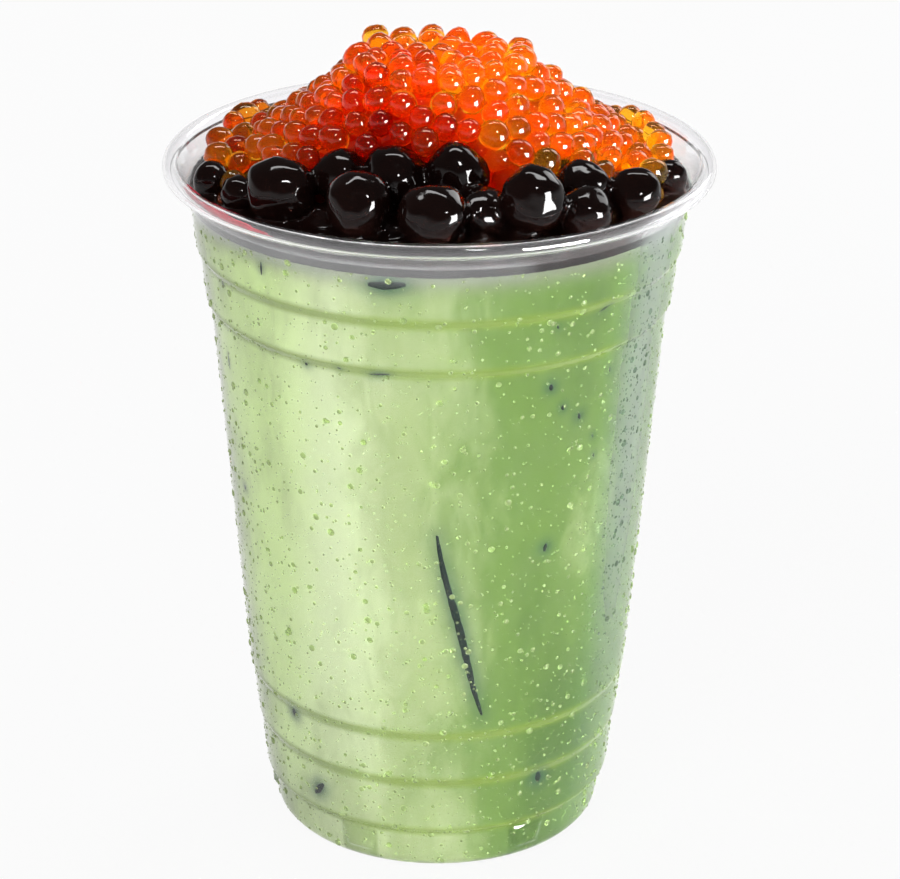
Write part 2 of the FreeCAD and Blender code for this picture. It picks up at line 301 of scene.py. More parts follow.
# %% Sizes of the cup
lip_radius = 49.0 * MM
cup_height = 128.4 * MM
foot_radius = 30.3 * MM
wall = 0.5 * MM
flare_reach = 4.9 * MM
flare_height = 8.0 * MM
flare_bend = 9.0 * MM
curl_radius = 1.4 * MM
curl_turn = math.radians(265)
curl_steps = 26
foot_steps = [(8.2 * MM, 1.4 * MM), (19.2 * MM, 0.5 * MM), (29.4 * MM, 0.5 * MM)]  # height and growth
top_steps = [(26.2 * MM, 0.9 * MM), (16.6 * MM, 0.7 * MM)]  # depth under the lip and growth
step_rise = 1.2 * MM
step_bend = 0.6 * MM
foot_bend = 3.0 * MM
stand_width = 3.8 * MM
base_rise = 4.0 * MM
base_slope = 2.2 * MM
base_bend = 1.0 * MM
freeboard = 6.4 * MM
skirt_top = 8.0 * MM
skirt_run = 0.4 * MM
plain_run = 6.0 * MM

neck_height = cup_height - flare_height
surface = cup_height - freeboard
steps = foot_steps + [(cup_height - depth, growth) for depth, growth in top_steps]
taper = (lip_radius - flare_reach - foot_radius - sum(growth for _, growth in steps)) / neck_height
print("wall leans out by", round(math.degrees(math.atan(taper)), 2), "degrees")


# %% Outline helpers
def rounded_path(corners, radii, bend_steps=4):
    """A path through corners of (radius, height), with each inner corner rounded."""
    corners = [Vector(corner) for corner in corners]
    path = corners[:1]
    for before, corner, after, radius in zip(corners, corners[1:], corners[2:], radii):
        into, out = (corner - before).normalized(), (after - corner).normalized()
        turn = into.angle(out)
        side = 1 if into.x * out.y > into.y * out.x else -1
        centre = corner + (out - into).normalized() * (radius / math.cos(turn / 2))
        arm = corner - into * (radius * math.tan(turn / 2)) - centre
        for index in range(bend_steps + 1):
            path.append(centre + Matrix.Rotation(side * turn * index / bend_steps, 2) @ arm)
    return path + corners[-1:]


def finer(path, longest):
    """The same path with long runs divided."""
    made = [path[0]]
    for low, high in zip(path, path[1:]):
        parts = max(1, math.ceil((high - low).length / longest((low + high) / 2)))
        made += [low.lerp(high, (index + 1) / parts) for index in range(parts)]
    return made


def shifted(path, distance):
    """The path moved to its right, which is out of the cup for a path from the base up to the lip."""
    runs = [(high - low).normalized() for low, high in zip(path, path[1:])]
    made = []
    for point, into, out in zip(path, runs[:1] + runs, runs + runs[-1:]):
        along = (into + out).normalized()
        made.append(point + Vector((along.y, -along.x)) * (distance / max(0.5, along.dot(out))))
    return made


def cup_run(middle):
    """Longest run of the cup's outline: short where the stacking lugs are pressed into the skirt."""
    return skirt_run if middle.x > foot_radius - wall and middle.y < skirt_top else plain_run


# %% Outline
corners = [
    (0, base_rise + wall),
    (foot_radius - stand_width - base_slope, base_rise + wall),
    (foot_radius - stand_width, wall),
    (foot_radius - wall, wall),
]
widened = 0.0
for height, growth in steps:
    radius = foot_radius - wall + widened + taper * height
    corners += [(radius, height), (radius + growth, height + step_rise)]
    widened += growth
neck = Vector((lip_radius - flare_reach - wall, neck_height))
curl_centre = Vector((lip_radius - curl_radius, cup_height - curl_radius))
to_curl = curl_centre - neck
lean = math.atan2(to_curl.y, to_curl.x) + math.asin(curl_radius / to_curl.length)
curl = []
for index in range(curl_steps + 1):
    angle = lean + math.pi / 2 - curl_turn * index / curl_steps
    curl.append(curl_centre + Vector((math.cos(angle), math.sin(angle))) * curl_radius)
bends = [base_bend, base_bend, foot_bend - wall] + [step_bend] * (2 * len(steps)) + [flare_bend]
drink_side = rounded_path(corners + [neck, curl[0]], bends)
cup_path = finer(drink_side + curl[1:], cup_run)
print("outline of", len(cup_path), "points")

# %% [markdown]
# ## Turning an outline, and the stacking lugs
# A round piece is its outline turned about the Z axis. The six stacking lugs are pressed out of the skirt,
# so each point of a ring may move out by a bulge that depends on its angle and height. Points on the axis
# become one vertex, so the poles are closed.

# %% Lugs and turning
lug_count = 6
lug_phase = math.radians(32.5)
lug_top = foot_steps[0][0] - 0.7 * MM
lug_height = 4.6 * MM
lug_half_top = 3.6 * MM
lug_half_bottom = 2.3 * MM
lug_reach = 0.9 * MM
lug_draft = 0.5 * MM
lug_pitch = 2 * math.pi / lug_count
round_segments = 300
on_axis = 1e-7


def lug_bulge(radius, height, azimuth):
    """How far a point of the skirt is pressed out by the nearest lug."""
    if radius < foot_radius - wall or height > lug_top or height < lug_top - lug_height:
        return 0.0
    off = (azimuth - lug_phase + lug_pitch / 2) % lug_pitch - lug_pitch / 2
    level = (height - lug_top + lug_height) / lug_height
    half_width = lug_half_bottom + (lug_half_top - lug_half_bottom) * level
    inside = min(half_width - abs(off) * radius, lug_top - height, height - lug_top + lug_height)
    if inside <= 0:
        return 0.0
    pressed = min(1.0, inside / lug_draft)
    inset = foot_radius + taper * height - radius
    return pressed * max(0.0, (foot_radius + lug_reach - inset) / math.cos(off) - radius)


def next_round(ring):
    """For each point of a closed ring, the next one."""
    return ring[1:] + ring[:1]


def turned(name, path, segments=round_segments, bulge=None):
    """A piece turned round the Z axis, with its faces towards the left of the path."""
    points, faces, rings = [], [], []
    turns = [2 * math.pi * index / segments for index in range(segments)]
    for radius, height in path:
        first = len(points)
        if radius < on_axis:
            points.append((0, 0, height))
        else:
            reaches = [radius + (bulge(radius, height, turn) if bulge else 0) for turn in turns]
            points += [around(reach, turn, height) for reach, turn in zip(reaches, turns)]
        rings.append(list(range(first, len(points))))
    for low, high in zip(rings, rings[1:]):
        if len(low) == 1:
            faces += [(low[0], a, b) for a, b in zip(high, next_round(high))]
        elif len(high) == 1:
            faces += [(a, high[0], b) for a, b in zip(low, next_round(low))]
        else:
            faces += zip(low, high, next_round(high), next_round(low))
    return shown(name, smooth_mesh(name, points, faces))


# %% [markdown]
# ## Materials
# Patterns follow the piece: they read its own coordinates in millimetres, or numbers stored on its
# vertices. Lamps don't pass bending glass in a path tracer, so for shadow rays a clear material is plainly
# see-through.


# %% Material helpers
def surface_material(name):
    """A new material with its tree and its Principled shader."""
    made = bpy.data.materials.new(name)
    made.use_nodes = True
    return made, made.node_tree, made.node_tree.nodes["Principled BSDF"]


def place_of(tree, scale=(1, 1, 1)):
    """Object coordinates in millimetres, stretched by a scale."""
    return node(tree, "ShaderNodeMapping", {
        "Vector": node(tree, "ShaderNodeTexCoord").outputs["Object"],
        "Scale": [1000 * value for value in scale]}).outputs["Vector"]


def axes_of(tree, place):
    """The X, Y and Z of a place."""
    return node(tree, "ShaderNodeSeparateXYZ", {0: place}).outputs


def azimuth_of(tree, axes):
    """Angle round the Z axis from the front, positive to the right."""
    return number(tree, "ARCTAN2", axes["X"], number(tree, "MULTIPLY", axes["Y"], -1.0))


def stripe(tree, azimuth, low, full, wane, high, strength=1.0):
    """A soft upright stripe that grows from one angle to the next and wanes between the last two."""
    growing = between(tree, azimuth, math.radians(low), math.radians(full), 0.0, strength)
    return number(tree, "MULTIPLY", growing,
                  between(tree, azimuth, math.radians(wane), math.radians(high), 1.0, 0.0))


def stored(tree, name):
    """A number that is stored on the vertices."""
    return node(tree, "ShaderNodeAttribute", attribute_name=name).outputs["Fac"]


def noise_of(tree, place, size, detail=3.0, roughness=0.5, distortion=0.0):
    """Noise whose features are about so many millimetres across."""
    return node(tree, "ShaderNodeTexNoise", {
        "Vector": place, "Scale": 1 / size, "Detail": detail, "Roughness": roughness,
        "Distortion": distortion}).outputs["Fac"]


def mixed(tree, share, first, second):
    """Two colours mixed. Each is a socket or a colour."""
    made = node(tree, "ShaderNodeMix", {"Factor": share}, data_type="RGBA")
    colour_inputs = [at for at, socket in enumerate(made.inputs) if socket.type == "RGBA"]
    wire(tree, made, dict(zip(colour_inputs, (first, second))))
    return next(socket for socket in made.outputs if socket.type == "RGBA")


def speckled(tree, size, detail, first, second):
    """Two colours mixed by noise."""
    return mixed(tree, noise_of(tree, place_of(tree), size, detail), first, second)


def clear_to_lamps(tree, shader, tint):
    """Let shadow rays through a clear material, tinted by it."""
    shadow = node(tree, "ShaderNodeLightPath").outputs["Is Shadow Ray"]
    through = node(tree, "ShaderNodeBsdfTransparent", {"Color": tint})
    wire(tree, tree.nodes["Material Output"], {"Surface": either(tree, shadow, shader, through)})


# %% [markdown]
# ## Cup
# Clear plastic half a millimetre thick. It is one closed shell, drink side up and air side down again, so
# that light bends through a real wall and the rolled lip shows its dark and bright lines. Cold plastic is
# also misted: a little of it scatters white, and more under the lip. An upright band at the right scatters
# white too: it is a painted reflection of a window in the wet wall.

# %% Cup
cup = turned("cup_wall", cup_path + shifted(cup_path, wall)[::-1], bulge=lug_bulge)

clear_tint, mint_tint, lip_tint = (0.98, 0.99, 0.985), (0.88, 0.98, 0.91), (0.985, 0.98, 0.99)
lip_fog, lip_fog_end = 0.20, 0.17
# Strength of the painted reflection band at the right.
painted_reflection_strength = 0.52
wiped_at = math.radians(36)

plastic, tree, shader = surface_material("misted clear plastic")
place = place_of(tree)
axes = axes_of(tree, place)
azimuth = azimuth_of(tree, axes)
tint = mixed(tree, stripe(tree, azimuth, 40, 50, 90, 130), clear_tint, mint_tint)
tint = mixed(tree, between(tree, axes["Z"], 122.0, 124.0), tint, lip_tint)
mist = between(tree, noise_of(tree, place, 9.0, 4), 0.30, 0.75, 0.008, 0.045)
near_lip = number(tree, "SUBTRACT", between(tree, axes["Z"], 118.5, 121.8, 0.0, lip_fog),
                  between(tree, axes["Z"], 122.7, 124.2, 0.0, lip_fog_end))
off_wiped = number(tree, "ABSOLUTE", number(tree, "SUBTRACT", azimuth, wiped_at))
near_lip = number(tree, "MULTIPLY", near_lip, between(tree, off_wiped, math.radians(12), math.radians(19)))
# Painted reflection: an upright band at the right scatters white, where a window would mirror in the wet
# wall.
painted_reflection = number(tree, "MULTIPLY", stripe(tree, azimuth, 43, 59, 61, 76, painted_reflection_strength),
              between(tree, axes["Z"], 10.0, 85.0, 0.12, 1.0))
under_roll = between(tree, axes["Z"], 125.2, 126.0, 1.0, 0.1)
# Real mist and the painted reflection band together.
mist_and_reflection = number(tree, "MULTIPLY", number(tree, "ADD", mist, near_lip, painted_reflection), under_roll)
wire(tree, shader, {"Base Color": tint, "Roughness": 0.03, "IOR": 1.49,
                    "Transmission Weight": number(tree, "SUBTRACT", 1.0, mist_and_reflection, clamp=True)})
clear_to_lamps(tree, shader, (0.95, 0.96, 0.955))
finish_piece(cup, "clear_plastic", "cup", material=plastic)
print("plastic:", round(volume_ml(cup.data), 2), "ml")

# %% [markdown]
# ## Milk tea
# Milk turns the tea opaque, so it needs a surface and no inside. Its side lies a little way into the wall:
# if it only touched the wall, a film of air would show as a silvery skin. The tea isn't stirred evenly:
# paler milk and greener tea hang in soft upright clouds. Some clouds at the front are painted light and
# shade: milky ones at the front left, with the left side painted paler still as the lamp lights it, and
# greener ones at the right, darkest at its edge, as painted shade. The tea is also painted darker in the
# cup's grooves, as painted shade there. Bits of tea leaf float against the wall and show through a thin
# skin of milk, as dark marks with a soft edge. The soft edge is stored on the tea's vertices, from their
# distance to each bit.

# %% Tea surface
wall_reach = 0.15 * MM
tea_longest = 0.8 * MM


def radius_at(path, height):
    """Radius of a path at a height on the wall."""
    for low, high in zip(path, path[1:]):
        if low.y <= height <= high.y and low.x > foot_radius * 0.8:
            return low.x + (high.x - low.x) * (height - low.y) / max(1e-9, high.y - low.y)
    return path[-1].x


def tea_run(middle):
    """Longest run of the tea's outline, short enough to carry its stains."""
    return cup_run(middle) if middle.y < skirt_top else tea_longest


tea_outline = shifted(drink_side, wall_reach)
edge_radius = radius_at(tea_outline, surface)
tea_side = [point for point in tea_outline if point.y < surface] + [Vector((edge_radius, surface))]
tea_path = [Vector((0, surface)), Vector((edge_radius * 0.6, surface))] + finer(tea_side, tea_run)[::-1]
tea = turned("green_milk_tea", tea_path, bulge=lug_bulge)
print("tea:", round(volume_ml(tea.data), 1), "ml")

# %% Bits of leaf
# Each bit runs from one place on the wall to another: degrees round from the front, height, degrees,
# height, width, and how strongly it stains the milk.
leaf_bits = [
    (-0.2, 71.5, 13.3, 34.3, 1.9, 0.75),
    (-43.4, 119.4, -43.6, 117.0, 0.7, 0.5),
    (-15.6, 119.4, -7.2, 119.9, 2.6, 1.0),
    (-61.8, 111.6, -61.6, 110.4, 0.7, 0.4),
    (-66.6, 96.8, -66.4, 93.4, 0.55, 0.35),
    (-64.5, 71.2, -64.3, 70.3, 0.9, 0.6),
    (-33.9, 102.0, -33.3, 101.5, 0.8, 0.6),
    (-24.6, 102.7, -23.8, 102.3, 0.6, 0.5),
    (-16.7, 102.1, -11.6, 102.6, 0.7, 0.8),
    (-49.5, 29.0, -49.1, 27.5, 1.6, 0.9),
    (-43.4, 12.2, -39.4, 15.0, 1.9, 0.95),
    (34.0, 19.0, 34.3, 16.6, 2.0, 0.95),
    (30.0, 67.6, 29.6, 66.0, 1.4, 0.8),
    (28.2, 110.3, 28.6, 109.6, 0.6, 0.4),
    (39.9, 110.9, 44.6, 112.0, 0.45, 0.5),
    (46.7, 99.0, 46.9, 97.9, 0.5, 0.4),
    (28.2, 98.9, 28.5, 97.7, 1.4, 0.8),
    (32.0, 94.3, 32.4, 93.4, 1.0, 0.7),
    (37.3, 91.9, 37.7, 90.8, 1.1, 0.7),
    (42.5, 86.9, 42.7, 86.2, 0.6, 0.5),
    (43.5, 83.0, 43.7, 82.2, 0.6, 0.5),
    (92.0, 88.0, 97.0, 84.0, 0.8, 0.6),
    (118.0, 41.0, 118.5, 38.5, 0.9, 0.6),
    (141.0, 104.0, 143.0, 105.5, 0.7, 0.6),
    (166.0, 60.0, 172.0, 71.0, 0.9, 0.6),
    (-128.0, 98.0, -127.5, 95.0, 0.8, 0.6),
    (-152.0, 22.0, -148.0, 24.5, 1.0, 0.8),
    (-104.0, 52.0, -103.5, 50.5, 0.8, 0.6),
]
leaf_part = 1.2 * MM
long_leaf = 30 * MM


def on_wall(degrees, height):
    """A point on the tea's side."""
    return Vector(around(radius_at(tea_outline, height), math.radians(degrees), height))


leaf_lines = []
for start_turn, start_height, end_turn, end_height, leaf_width, strength in leaf_bits:
    start_height, end_height = start_height * MM, end_height * MM
    length = (on_wall(end_turn, end_height) - on_wall(start_turn, start_height)).length
    parts = max(2, round(length / leaf_part))
    line = []
    for index in range(parts + 1):
        share = index / parts
        sway = (0.9 * math.sin(share * math.pi) + 0.35 * math.sin(share * 9)) * min(1.0, length / long_leaf)
        turn_here = start_turn + (end_turn - start_turn) * share - sway
        line.append((turn_here, start_height + (end_height - start_height) * share))
    leaf_lines.append((line, leaf_width * MM, strength))
print(len(leaf_lines), "bits of leaf")

# %% Stain round the bits
stain_share, stain_edge = 0.8, 0.5 * MM

tea_points = coordinates(tea.data)
stain = np.zeros(len(tea_points))
for line, leaf_width, strength in leaf_lines:
    line_points = [on_wall(*place_on_line) for place_on_line in line]
    stain_width = leaf_width * stain_share + stain_edge
    for index, (low, high) in enumerate(zip(line_points, line_points[1:])):
        along = np.array(high - low)
        share = np.clip((tea_points - np.array(low)) @ along / (along @ along), 0, 1)
        away = np.linalg.norm(tea_points - np.array(low) - share[:, None] * along, axis=1)
        fade = np.sin(math.pi * (0.15 + 0.7 * (index + share) / (len(line) - 1)))
        stain = np.maximum(stain, strength * fade * np.exp(-((away / stain_width) ** 2)))
store(tea.data, "stain", stain)
print("strongest stain", round(float(stain.max()), 2))

# %% Clouds of milk, and painted light and shade
# Each cloud: degrees round from the front, height, half its width in degrees, half its height, and how
# milky it is. Below zero it is a cloud of greener tea. The milky clouds at -29 and -57 degrees paint the
# lamp's light at the front left. The greener ones at the right are partly the tea's own colour and partly
# painted shade, and the one at 80 degrees paints the shade at the right edge.
milk_clouds_and_painted_light = [
    (-29, 70, 24, 95, 0.95),
    (43, 18, 16, 42, -0.80),
    (37, 108, 9, 30, -0.40),
    (22, 60, 9, 70, -0.20),
    (38, 68, 7, 9, 0.20),
    (-57, 75, 24, 130, 0.93),
    (-20, 30, 12, 22, 0.35),
    (-2, 52, 12, 16, 0.22),
    (-8, 92, 12, 30, 0.25),
    (0, 8, 16, 12, 0.25),
    (44, 66, 9, 22, 0.22),
    (80, 70, 12, 120, -0.55),
    (118, 70, 24, 60, 0.75),
    (165, 40, 22, 40, 0.55),
    (-150, 90, 24, 45, 0.80),
    (-112, 40, 22, 40, 0.50),
]
# Where a lug leaves room for more tea it shows greener, and between the lugs the skirt shows paler.
lug_milk, skirt_milk = -0.30, 0.12
lug_half_turn = 6.5
lug_margin = 2 * MM

azimuths = np.degrees(np.arctan2(tea_points[:, 0], -tea_points[:, 1]))
milk = np.zeros(len(tea_points))
for turn_of, level, half_turn, half_level, milkiness in milk_clouds_and_painted_light:
    off = (azimuths - turn_of + 180) % 360 - 180
    cloud = np.exp(-((off / half_turn) ** 2) - ((tea_points[:, 2] / MM - level) / half_level) ** 2)
    milk = 1 - (1 - milk) * (1 - milkiness * cloud)
tea_reach, tea_height = np.hypot(tea_points[:, 0], tea_points[:, 1]), tea_points[:, 2]
in_skirt = (tea_height < lug_top) & (tea_reach > foot_radius - lug_margin)
pitch_degrees = math.degrees(lug_pitch)
off_lug = (azimuths - math.degrees(lug_phase) + pitch_degrees / 2) % pitch_degrees - pitch_degrees / 2
at_lug = (np.abs(off_lug) < lug_half_turn) & (tea_height > lug_top - lug_height - lug_margin)
milk += np.where(in_skirt, np.where(at_lug, lug_milk, skirt_milk), 0.0)
# The milk number also carries the painted light and shade of the clouds at the front.
store(tea.data, "milk", milk)
print("milkiness from", round(float(milk.min()), 2), "to", round(float(milk.max()), 2))

# %% Leaf meshes
leaf_sides = 10
leaf_thickness = 0.14 * MM
leaf_breadth = 0.36

leaf_points, leaf_faces = [], []
for line, leaf_width, strength in leaf_lines:
    first, last = len(leaf_points), len(line) - 1
    for index, (degrees, height) in enumerate(line):
        before, after = on_wall(*line[max(0, index - 1)]), on_wall(*line[min(last, index + 1)])
        along = (after - before).normalized()
        out = Vector(around(1, math.radians(degrees), 0))
        across = out.cross(along).normalized()
        tapered = 0.12 + 0.88 * math.sin(math.pi * (0.06 + 0.88 * index / last)) ** 0.8
        ragged = 1 + 0.3 * noise.noise(Vector((degrees, height / MM, leaf_width / MM)) * 0.7)
        half_width = leaf_width * leaf_breadth * tapered * ragged
        for side in range(leaf_sides):
            angle = 2 * math.pi * side / leaf_sides
            leaf_points.append(on_wall(degrees, height) + across * (math.cos(angle) * half_width)
                               + out * (math.sin(angle) * leaf_thickness))
    rings = [list(range(start, start + leaf_sides)) for start in range(first, len(leaf_points), leaf_sides)]
    for low, high in zip(rings, rings[1:]):
        leaf_faces += zip(low, next_round(low), next_round(high), high)
    for ring, tip, order in ((rings[0], line[0], -1), (rings[-1], line[-1], 1)):
        leaf_faces += [(a, b, len(leaf_points))[::order] for a, b in zip(ring, next_round(ring))]
        leaf_points.append(on_wall(*tip))
leaves = shown("tea_leaf_bits", smooth_mesh("tea_leaf_bits", leaf_points, leaf_faces))
print("leaf bits:", round(volume_ml(leaves.data), 4), "ml")

# %% Tea and leaf materials
deepest, deep, middle = (0.098, 0.185, 0.034), (0.165, 0.27, 0.060), (0.41, 0.495, 0.24)
pale, painted_light_left = (0.70, 0.78, 0.505), (0.79, 0.95, 0.46)
groove_shade_colour, stain_colour = (0.22, 0.31, 0.035), (0.03, 0.10, 0.06)
darker_top_colour = (0.27, 0.29, 0.22)

tea_material, tree, shader = surface_material("green milk tea")
place = place_of(tree)
upright = place_of(tree, (1, 1, 0.45))
axes = axes_of(tree, place)
clouds = number(tree, "MULTIPLY", noise_of(tree, upright, 16.0, 3, 0.55, 0.6), 0.9)
wisps = number(tree, "MULTIPLY", noise_of(tree, upright, 5.0, 4, 0.55, 1.0), 0.5)
pattern = number(tree, "SUBTRACT", number(tree, "ADD", stored(tree, "milk"), clouds, wisps), 0.42)
# Painted light: the palest tea is paler still towards the left, where the lamp falls.
palest_with_painted_light = mixed(tree, between(tree, axes["X"], -18.0, -32.0), pale, painted_light_left)
colour = mixed(tree, between(tree, pattern, -0.45, 0.20), deepest, deep)
colour = mixed(tree, between(tree, pattern, 0.20, 0.75), colour, middle)
colour = mixed(tree, between(tree, pattern, 0.70, 1.30), colour, palest_with_painted_light)
# Painted shade: a darker olive ring at each step of the cup.
painted_groove_shade = 0.0
for height, growth in steps:
    groove_height = (height + step_rise * 0.4) / MM
    off = number(tree, "ABSOLUTE", number(tree, "SUBTRACT", axes["Z"], groove_height))
    painted_groove_shade = number(tree, "MAXIMUM", painted_groove_shade, between(tree, off, 0.3, 1.8, 0.75, 0.0))
colour = mixed(tree, painted_groove_shade, colour, groove_shade_colour)
# Towards its top, the tea is painted greyer and darker.
colour = mixed(tree, between(tree, axes["Z"], 116.5, 121.8, 0.0, 0.85), colour, darker_top_colour)
colour = mixed(tree, stored(tree, "stain"), colour, stain_colour)
wire(tree, shader, {"Base Color": colour, "Roughness": 0.5, "Specular IOR Level": 0.0})
finish_piece(tea, "milk_tea", "milk_tea", material=tea_material)

leaf_material, tree, shader = surface_material("wet tea leaf")
leaf_colour = speckled(tree, 0.6, 2, (0.001, 0.010, 0.008), (0.004, 0.024, 0.014))
wire(tree, shader, {"Base Color": leaf_colour, "Roughness": 0.6, "Specular IOR Level": 0.0})
finish_piece(leaves, "milk_tea", material=leaf_material)

# %% [markdown]
# ## Black tapioca
# Cooked tapioca is soft, sticky and wet with syrup: near black, a little lumpy, and so glossy that it
# mirrors the lamps. The pearls sag against each other, and their syrup fills the gaps between them and
# lies over the tea. So lumpy balls, a little too large for their places, are joined with a layer of syrup
# by a voxel remesh, which leaves one wet skin with rounded hollows between the pearls.

# %% Tapioca pearls
syrup_top = 2.2 * MM
syrup_bottom = -0.8 * MM
syrup_overlap = 0.1 * MM
voxel = 0.5 * MM
side_reach = 34.0 * MM
side_share = 0.8
tapioca_nodes = sorted(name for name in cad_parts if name.startswith("tapioca"))

shape = bmesh.new()
bmesh.ops.create_icosphere(shape, subdivisions=4, radius=1)
ball_points = [vertex.co.copy() for vertex in shape.verts]
ball_faces = [[vertex.index for vertex in face.verts] for face in shape.faces]
shape.free()

points, faces = [], []
for index, name in enumerate(tapioca_nodes):
    low, high = (Vector(corner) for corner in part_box(name))
    centre, size = (low + high) / 2, (high - low) / 2
    if abs(centre.x) > side_reach and centre.z > surface:
        size *= side_share
    shift = Vector((index * 7.31, index * 3.17, index * 5.53))
    first = len(points)
    for point in ball_points:
        swell = 1.09 + 0.20 * noise.noise(point * 0.8 + shift) + 0.07 * noise.noise(point * 1.9 + shift)
        lump = centre + Vector((point.x * size.x, point.y * size.y, point.z * size.z)) * swell
        points.append((lump.x, lump.y, max(lump.z, surface + syrup_bottom)))
    faces += [[first + corner for corner in face] for face in ball_faces]
lumps = smooth_mesh("lumps", points, faces)
print(len(tapioca_nodes), "lumpy balls")

# %% Syrup
syrup_edge = radius_at(drink_side, surface) + syrup_overlap
high, low = surface + syrup_top, surface + syrup_bottom
layer = turned("syrup_layer", [
    Vector((0, high)), Vector((syrup_edge, high)), Vector((syrup_edge, low)), Vector((0, low))], 180)
shape = bmesh.new()
shape.from_mesh(lumps)
shape.from_mesh(layer.data)
joined = bpy.data.meshes.new("tapioca_pearls")
shape.to_mesh(joined)
shape.free()
bpy.data.objects.remove(layer)

tapioca = shown("tapioca_pearls", joined)
remesh = tapioca.modifiers.new("remesh", "REMESH")
remesh.mode = "VOXEL"
remesh.voxel_size = voxel
soften = tapioca.modifiers.new("soften", "SMOOTH")
soften.factor = 0.5
soften.iterations = 4
tapioca_mesh = evaluated_mesh(tapioca)
print("pearls and syrup:", len(tapioca_mesh.vertices), "vertices")

# %% Keep the wet skin inside the cup
wetting = 0.2 * MM
wetting_reach = 0.55 * MM


def wall_radius(heights):
    """Radius of the drink side at many heights near the lip."""
    wall_points = [point for point in drink_side + curl[1:10] if point.x > foot_radius * 0.9]
    return np.interp(heights, [point.y for point in wall_points], [point.x for point in wall_points])


skin = coordinates(tapioca_mesh)
reach = np.hypot(skin[:, 0], skin[:, 1])
wetted = wall_radius(skin[:, 2]) + wetting
near_wall = reach > wetted - wetting_reach
skin[near_wall, :2] *= (wetted / reach)[near_wall, None]
tapioca_mesh.vertices.foreach_set("co", skin.ravel())
tapioca_mesh.shade_smooth()
tapioca_mesh.update()
print("pearls and syrup:", round(volume_ml(tapioca_mesh), 1), "ml")

# %% Tapioca material
syrup, tree, shader = surface_material("black tapioca in syrup")
near_black = speckled(tree, 5.0, 2, (0.002, 0.001, 0.001), (0.012, 0.004, 0.003))
dents = node(tree, "ShaderNodeBump", {
    "Strength": 0.3, "Distance": 0.5 * MM, "Height": noise_of(tree, place_of(tree), 3.0, 1)})
wire(tree, shader, {"Base Color": near_black, "Roughness": 0.07, "Specular IOR Level": 0.22,
                    "Normal": dents.outputs[0]})
finish_piece(tapioca, "tapioca", *tapioca_nodes, material=syrup)

# %% [markdown]
# ## Spilt juice
# Where popping pearls have burst, their crimson juice clings to the wall above the tea as a thin wet film.
# Each patch is a ball pressed flat against the wall, a little way into it, so that no air shows between.

# %% Juice film
# Each patch: degrees round from the front, height, half its width in degrees, half its height.
juice_patches = [(-54, 126.2, 10, 1.6), (-66, 126.8, 5, 1.3), (-43, 125.6, 5, 0.8), (-150, 125.0, 8, 1.2)]
film_half = 0.3 * MM
film_out = -0.1 * MM

points, faces = [], []
for turn_of, level, half_turn, half_level in juice_patches:
    first = len(points)
    for point in ball_points:
        ragged = 1 + 0.5 * noise.noise(Vector((point.x * 3, point.y * 2, level)))
        height = (level + half_level * point.y * ragged) * MM
        turn_here = math.radians(turn_of + half_turn * point.x * ragged)
        reach = float(wall_radius(height)) + film_half * point.z + film_out
        points.append(around(reach, turn_here, height))
    faces += [[first + corner for corner in face] for face in ball_faces]
film = shown("juice_film", smooth_mesh("juice_film", points, faces))
print("juice:", round(volume_ml(film.data), 3), "ml")

crimson, tree, shader = surface_material("crimson juice")
film_colour = speckled(tree, 2.0, 3, (0.30, 0.002, 0.012), (0.75, 0.02, 0.06))
wire(tree, shader, {"Base Color": film_colour, "Roughness": 0.1})
finish_piece(film, "popping_pearl", material=crimson)

# %% [markdown]
# ## Popping pearls
# Popping pearls are thin skins full of juice, about 5 mm across. A heap of them is packed at random, so
# their places are found by settling: balls are dropped at random into the heap's outer layers and pushed
# apart until they only touch, while they stay inside the heap's outline, off the black pearls and off the
# wall. Geometry Nodes then put a pearl at each place.

# %% Heap outline
heap_height = 23.8 * MM
heap_top_radius = 14.0 * MM
heap_hollow = 1.27
heap_belly_height = 4.5 * MM
heap_belly = radius_at(drink_side, surface) - 5.4 * MM
heap_tuck = 4.6 * MM
heap_front = radius_at(drink_side, surface) - 23.1 * MM
heap_front_top = 14.0 * MM
heap_front_lean = 4.5 * MM
heap_front_rise = 6.0 * MM
under_heap = -2.0 * MM
over_heap = 9.0 * MM
flank_steps = 24

heap_side = [Vector((heap_belly - heap_tuck, under_heap)), Vector((heap_belly - heap_tuck, 0))]
for index in range(flank_steps + 1):
    share = 1 - index / flank_steps
    level = heap_belly_height + (heap_height - heap_belly_height) * (1 - share ** (1 / heap_hollow))
    heap_side.append(Vector((heap_top_radius + (heap_belly - heap_top_radius) * share, level)))
heap_side.append(Vector((0, heap_height)))
heap_face = [
    Vector((heap_front, under_heap)), Vector((heap_front, heap_front_top)),
    Vector((heap_front + heap_front_lean, heap_front_top + heap_front_rise)),
    Vector((heap_front + heap_front_lean, heap_height + over_heap))]


def depth_under(outline, across, up):
    """Depth of points under an outline of (across, up), and the outward direction there."""
    nearest, gap = np.full(len(across), np.inf), np.zeros((len(across), 2))
    for low, high in zip(outline, outline[1:]):
        along = high - low
        share = np.clip(((across - low.x) * along.x + (up - low.y) * along.y) / along.length_squared, 0, 1)
        here = np.column_stack([low.x + share * along.x - across, low.y + share * along.y - up])
        away = np.hypot(here[:, 0], here[:, 1])
        nearer = away < nearest
        nearest[nearer], gap[nearer] = away[nearer], here[nearer]
    inside = across < np.interp(up, [point.y for point in outline], [point.x for point in outline])
    sign = np.where(inside, 1.0, -1.0)
    return sign * nearest, gap * (sign / np.maximum(nearest, 1e-9))[:, None]


